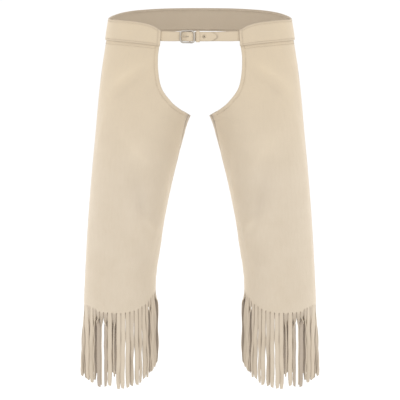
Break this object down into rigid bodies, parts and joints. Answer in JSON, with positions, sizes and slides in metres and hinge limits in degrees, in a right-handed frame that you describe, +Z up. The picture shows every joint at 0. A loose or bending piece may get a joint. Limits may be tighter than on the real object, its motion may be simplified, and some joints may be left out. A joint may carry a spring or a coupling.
{
  "type": "fringed chaps",
  "caption": "Short suede riding chaps held open as worn, with a shaped waistband, a buckled front strap, slanting leg tubes and a cut fringe at each hem.",
  "frame": {"origin": "middle of the waist opening, level with the middle of the waistband at the hips, where the wearer's hips hold the part", "axes": "+Z up, -Y is the front with the buckle, +X is the wearer's left side"},
  "size_m": [0.4848, 0.2427, 0.7511],
  "materials": {
    "cream_suede": "napped, matt",
    "aged_nickel": "aged, satin"
  },
  "bodies": {
    "root": {"waistband": "cream_suede", "leg_front_left": "cream_suede", "leg_front_right": "cream_suede", "leg_back_left": "cream_suede", "leg_back_right": "cream_suede", "fringe_left": "cream_suede", "fringe_right": "cream_suede", "tail_strap": "cream_suede", "buckle_strap": "cream_suede", "strap_keeper": "cream_suede", "buckle_frame": "aged_nickel", "buckle_tongue": "aged_nickel", "eyelet": "aged_nickel"}
  },
  "joints": []
}
